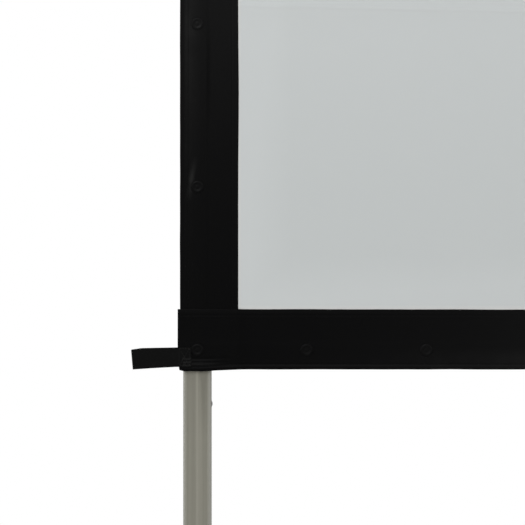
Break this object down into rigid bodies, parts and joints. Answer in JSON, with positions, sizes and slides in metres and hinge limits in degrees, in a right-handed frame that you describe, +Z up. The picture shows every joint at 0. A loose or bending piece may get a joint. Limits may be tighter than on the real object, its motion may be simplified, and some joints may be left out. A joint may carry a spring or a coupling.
{
  "type": "fast-fold projection screen",
  "caption": "Free-standing projection screen: grey surface with a black press-stud border on a folding square-tube frame, telescopic legs and folding cross feet.",
  "frame": {"origin": "on the floor, under the middle of the screen", "axes": "+Z up, +X to the right as seen from in front, and the picture side faces -Y"},
  "size_m": [2.6754, 0.9, 2.2426],
  "materials": {
    "tube_aluminium": "satin anodised square tube",
    "casting_aluminium": "tumbled casting",
    "pin_steel": "zinc plated",
    "black_vinyl": "satin black vinyl-coated cloth with domed snaps",
    "projection_vinyl": "matt grey rear-projection vinyl",
    "black_plastic": "moulded",
    "black_rubber": "matt"
  },
  "bodies": {
    "base_left": {"lower_leg_left": "tube_aluminium", "foot_bracket_left": "casting_aluminium", "front_foot_pin_left": "pin_steel", "rear_foot_pin_left": "pin_steel"},
    "frame_left": {"upper_leg_left": "tube_aluminium", "leg_collar_left": "black_plastic", "bottom_corner_left": "casting_aluminium", "bottom_corner_pin_left": "pin_steel", "bottom_rail_left": "tube_aluminium", "bottom_book_hinge_left": "casting_aluminium", "bottom_book_pin": "pin_steel"},
    "post_lower_left": {"bottom_post_hinge_left": "casting_aluminium", "lower_post_left": "tube_aluminium", "elbow_fork_left": "casting_aluminium", "elbow_pin_left": "pin_steel"},
    "post_upper_left": {"elbow_tongue_left": "casting_aluminium", "upper_post_left": "tube_aluminium", "top_post_hinge_left": "casting_aluminium"},
    "top_left": {"top_corner_left": "casting_aluminium", "top_corner_pin_left": "pin_steel", "top_rail_left": "tube_aluminium", "top_book_hinge_left": "casting_aluminium", "top_book_pin": "pin_steel"},
    "knob_left": {"leg_knob_left": "black_plastic"},
    "plunger_left": {"elbow_plunger_left": "pin_steel"},
    "foot_front_left": {"front_foot_left": "tube_aluminium", "front_foot_boot_left": "black_rubber"},
    "foot_rear_left": {"rear_foot_left": "tube_aluminium", "rear_foot_boot_left": "black_rubber"},
    "screen_left": {"black_border_left": "black_vinyl", "projection_surface_left": "projection_vinyl"},
    "base_right": {"lower_leg_right": "tube_aluminium", "foot_bracket_right": "casting_aluminium", "front_foot_pin_right": "pin_steel", "rear_foot_pin_right": "pin_steel"},
    "frame_right": {"upper_leg_right": "tube_aluminium", "leg_collar_right": "black_plastic", "bottom_corner_right": "casting_aluminium", "bottom_corner_pin_right": "pin_steel", "bottom_rail_right": "tube_aluminium", "bottom_book_hinge_right": "casting_aluminium"},
    "post_lower_right": {"bottom_post_hinge_right": "casting_aluminium", "lower_post_right": "tube_aluminium", "elbow_fork_right": "casting_aluminium", "elbow_pin_right": "pin_steel"},
    "post_upper_right": {"elbow_tongue_right": "casting_aluminium", "upper_post_right": "tube_aluminium", "top_post_hinge_right": "casting_aluminium"},
    "top_right": {"top_corner_right": "casting_aluminium", "top_corner_pin_right": "pin_steel", "top_rail_right": "tube_aluminium", "top_book_hinge_right": "casting_aluminium"},
    "knob_right": {"leg_knob_right": "black_plastic"},
    "plunger_right": {"elbow_plunger_right": "pin_steel"},
    "foot_front_right": {"front_foot_right": "tube_aluminium", "front_foot_boot_right": "black_rubber"},
    "foot_rear_right": {"rear_foot_right": "tube_aluminium", "rear_foot_boot_right": "black_rubber"},
    "screen_right": {"black_border_right": "black_vinyl", "projection_surface_right": "projection_vinyl"}
  },
  "joints": [
    {"name": "leg_height", "type": "slide", "parent": "base_left", "child": "frame_left", "axis": [0, 0, 1], "range_m": [0, 0.25]},
    {"name": "leg_height_right", "type": "slide", "parent": "frame_right", "child": "base_right", "axis": [0, 0, -1], "range_m": [0, 0.25]},
    {"name": "book_fold", "type": "hinge", "parent": "frame_left", "child": "frame_right", "pos_m": [0, -0.02057, 0.75], "axis": [0, 0, -1], "range_deg": [0, 135]},
    {"name": "side_fold", "type": "hinge", "parent": "frame_left", "child": "post_lower_left", "pos_m": [-1.24632, 0, 0.76638], "axis": [0, 1, 0], "range_deg": [0, 90], "deforming": ["black_border_left", "black_border_right", "projection_surface_left", "projection_surface_right"]},
    {"name": "elbow_left", "type": "hinge", "parent": "post_lower_left", "child": "post_upper_left", "pos_m": [-1.27907, 0, 1.481], "axis": [0, -1, 0], "range_deg": [0, 180]},
    {"name": "top_corner_left_hinge", "type": "hinge", "parent": "post_upper_left", "child": "top_left", "pos_m": [-1.24632, 0, 2.19563], "axis": [0, 1, 0], "range_deg": [0, 90]},
    {"name": "side_fold_right", "type": "hinge", "parent": "frame_right", "child": "post_lower_right", "pos_m": [1.24632, 0, 0.76638], "axis": [0, -1, 0], "range_deg": [0, 90]},
    {"name": "elbow_right", "type": "hinge", "parent": "post_lower_right", "child": "post_upper_right", "pos_m": [1.27907, 0, 1.481], "axis": [0, 1, 0], "range_deg": [0, 180]},
    {"name": "top_corner_right_hinge", "type": "hinge", "parent": "post_upper_right", "child": "top_right", "pos_m": [1.24632, 0, 2.19563], "axis": [0, -1, 0], "range_deg": [0, 90]},
    {"name": "screen_off", "type": "slide", "parent": "frame_left", "child": "screen_left", "axis": [0, 1, 0], "range_m": [-0.5, 0]},
    {"name": "screen_off_right", "type": "slide", "parent": "frame_right", "child": "screen_right", "axis": [0, 1, 0], "range_m": [-0.5, 0]},
    {"name": "front_foot_fold_left", "type": "hinge", "parent": "base_left", "child": "foot_front_left", "pos_m": [-1.2627, -0.031, 0.0217], "axis": [-1, 0, 0], "range_deg": [0, 90]},
    {"name": "rear_foot_fold_left", "type": "hinge", "parent": "base_left", "child": "foot_rear_left", "pos_m": [-1.2627, 0.031, 0.0217], "axis": [1, 0, 0], "range_deg": [0, 90]},
    {"name": "leg_knob_turn_left", "type": "hinge", "parent": "frame_left", "child": "knob_left", "pos_m": [-1.2627, 0, 0.314], "axis": [-1, 0, 0], "continuous": true},
    {"name": "elbow_lock_left", "type": "slide", "parent": "post_lower_left", "child": "plunger_left", "axis": [0, 1, 0], "range_m": [0, 0.006], "stiffness_N_per_m": 500, "springref_m": -0.004},
    {"name": "front_foot_fold_right", "type": "hinge", "parent": "base_right", "child": "foot_front_right", "pos_m": [1.2627, -0.031, 0.0217], "axis": [-1, 0, 0], "range_deg": [0, 90]},
    {"name": "rear_foot_fold_right", "type": "hinge", "parent": "base_right", "child": "foot_rear_right", "pos_m": [1.2627, 0.031, 0.0217], "axis": [1, 0, 0], "range_deg": [0, 90]},
    {"name": "leg_knob_turn_right", "type": "hinge", "parent": "frame_right", "child": "knob_right", "pos_m": [1.2627, 0, 0.314], "axis": [1, 0, 0], "continuous": true},
    {"name": "elbow_lock_right", "type": "slide", "parent": "post_lower_right", "child": "plunger_right", "axis": [0, 1, 0], "range_m": [0, 0.006], "stiffness_N_per_m": 500, "springref_m": -0.004}
  ],
  "couplings": [
    {"joint": "leg_height_right", "follows": "leg_height", "ratio": 1},
    {"joint": "elbow_left", "follows": "side_fold", "ratio": 2},
    {"joint": "top_corner_left_hinge", "follows": "side_fold", "ratio": 1},
    {"joint": "side_fold_right", "follows": "side_fold", "ratio": 1},
    {"joint": "elbow_right", "follows": "side_fold", "ratio": 2},
    {"joint": "top_corner_right_hinge", "follows": "side_fold", "ratio": 1},
    {"joint": "screen_off_right", "follows": "screen_off", "ratio": 1}
  ]
}
